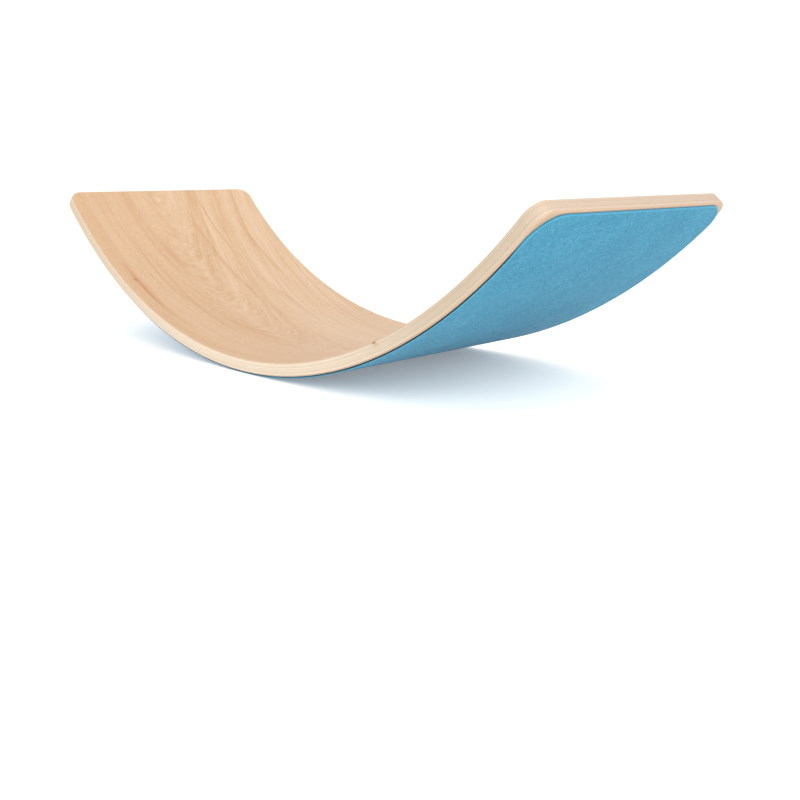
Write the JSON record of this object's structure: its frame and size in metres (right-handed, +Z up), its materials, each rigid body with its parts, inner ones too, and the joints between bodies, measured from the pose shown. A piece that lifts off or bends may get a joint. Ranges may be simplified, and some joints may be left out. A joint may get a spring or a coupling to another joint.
{
  "type": "balance board",
  "caption": "Curved bentwood balance board in its rocking pose: a laminate of thin wood plies with a felt pad on the convex face.",
  "frame": {"origin": "on the ground under the middle of the felt, where the board rests", "axes": "+X along the length, +Y across the width, +Z up out of the hollow side"},
  "size_m": [0.8386, 0.3, 0.1973],
  "materials": {
    "face_veneer": "satin, long straight grain",
    "long_grain_ply": "sanded edge, grain along the board",
    "cross_grain_ply": "sanded end grain",
    "blue_felt": "matte wool felt"
  },
  "bodies": {
    "root": {"face_veneer_top": "face_veneer", "ply_02_cross": "cross_grain_ply", "ply_03_long": "long_grain_ply", "ply_04_cross": "cross_grain_ply", "ply_05_long": "long_grain_ply", "ply_06_cross": "cross_grain_ply", "ply_07_long": "long_grain_ply", "ply_08_cross": "cross_grain_ply", "ply_09_long": "long_grain_ply", "ply_10_cross": "cross_grain_ply", "face_veneer_bottom": "face_veneer", "felt_pad": "blue_felt"}
  },
  "joints": []
}
